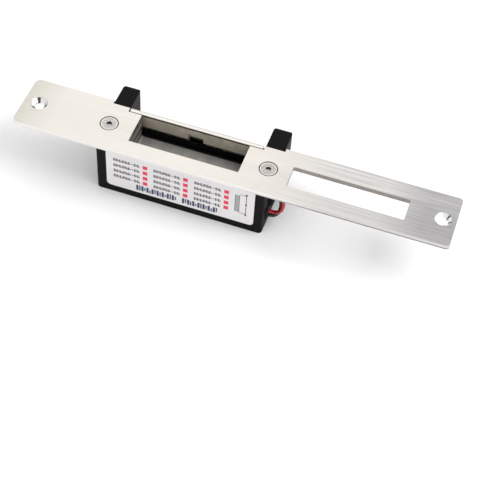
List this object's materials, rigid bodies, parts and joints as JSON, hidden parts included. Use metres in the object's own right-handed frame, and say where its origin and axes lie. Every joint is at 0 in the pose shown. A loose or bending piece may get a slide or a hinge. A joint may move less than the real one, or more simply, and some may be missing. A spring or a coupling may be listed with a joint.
{
  "type": "electric door strike",
  "caption": "Long-plate electric door strike: stainless faceplate with latch and deadbolt openings over a black cast body with a hinged keeper, solenoid lock work and two leads.",
  "frame": {"origin": "on the flat foot of the body, under the middle of the strike opening's length, on the faceplate's centre line", "axes": "+Z out of the faceplate, +X along the faceplate towards its long end with the deadbolt slot, +Y towards the keeper's side"},
  "size_m": [0.2514, 0.0546, 0.039],
  "materials": {
    "brushed_stainless": "lengthwise brushed",
    "black_casting": "satin powder coat",
    "plated_steel": "zinc plated",
    "keeper_steel": "satin cast steel",
    "screw_steel": "turned stainless",
    "spring_steel": "drawn wire",
    "label_film": "printed film",
    "black_rubber": "matte",
    "black_nylon": "moulded",
    "winding_tape": "amber tape",
    "phenolic_board": "cut laminate",
    "diode_body": "moulded",
    "red_insulation": "extruded",
    "black_insulation": "extruded",
    "white_tie": "moulded"
  },
  "bodies": {
    "housing": {"faceplate": "brushed_stainless", "body_casting": "black_casting", "pocket_liner": "plated_steel", "base_cover": "black_casting", "rating_label": "label_film", "body_screw_left": "screw_steel", "body_screw_right": "screw_steel", "cover_screw_left_front": "plated_steel", "cover_screw_left_rear": "plated_steel", "cover_screw_right_front": "plated_steel", "cover_screw_right_rear": "plated_steel", "lead_grommet": "black_rubber", "keeper_hinge_rod": "plated_steel", "keeper_spring_left": "spring_steel", "keeper_spring_right": "spring_steel", "lever_pivot_pin": "plated_steel", "lever_pin_clip": "spring_steel", "solenoid_frame": "plated_steel", "solenoid_screw_1": "plated_steel", "solenoid_screw_2": "plated_steel", "coil_bobbin": "black_nylon", "coil_winding": "winding_tape", "pole_piece": "plated_steel", "return_spring": "spring_steel", "terminal_board": "phenolic_board", "suppression_diode": "diode_body", "lead_red": "red_insulation", "lead_black": "black_insulation", "lead_red_hank": "red_insulation", "lead_black_hank": "black_insulation", "lead_tie": "white_tie"},
    "keeper": {"keeper": "keeper_steel"},
    "plunger": {"plunger": "plated_steel", "plunger_link_pin": "screw_steel", "spring_retainer": "spring_steel"},
    "locking_lever": {"locking_lever": "plated_steel"}
  },
  "joints": [
    {"name": "keeper_hinge", "type": "hinge", "parent": "housing", "child": "keeper", "pos_m": [0, 0.019, 0.0205], "axis": [-1, 0, 0], "range_deg": [0, 60], "stiffness_Nm_per_rad": 0.03, "springref_deg": -34.38, "deforming": ["keeper_spring_left", "keeper_spring_right"]},
    {"name": "plunger_slide", "type": "slide", "parent": "housing", "child": "plunger", "axis": [1, 0, 0], "range_m": [0, 0.00546], "stiffness_N_per_m": 150, "springref_m": -0.004, "deforming": ["return_spring"]},
    {"name": "lever_turn", "type": "hinge", "parent": "housing", "child": "locking_lever", "pos_m": [0, 0.0045, 0.0106], "axis": [0, 0, 1], "range_deg": [0, 40.2]}
  ],
  "couplings": [
    {"joint": "lever_turn", "follows": "plunger_slide", "rad_per_m": 127.87}
  ]
}
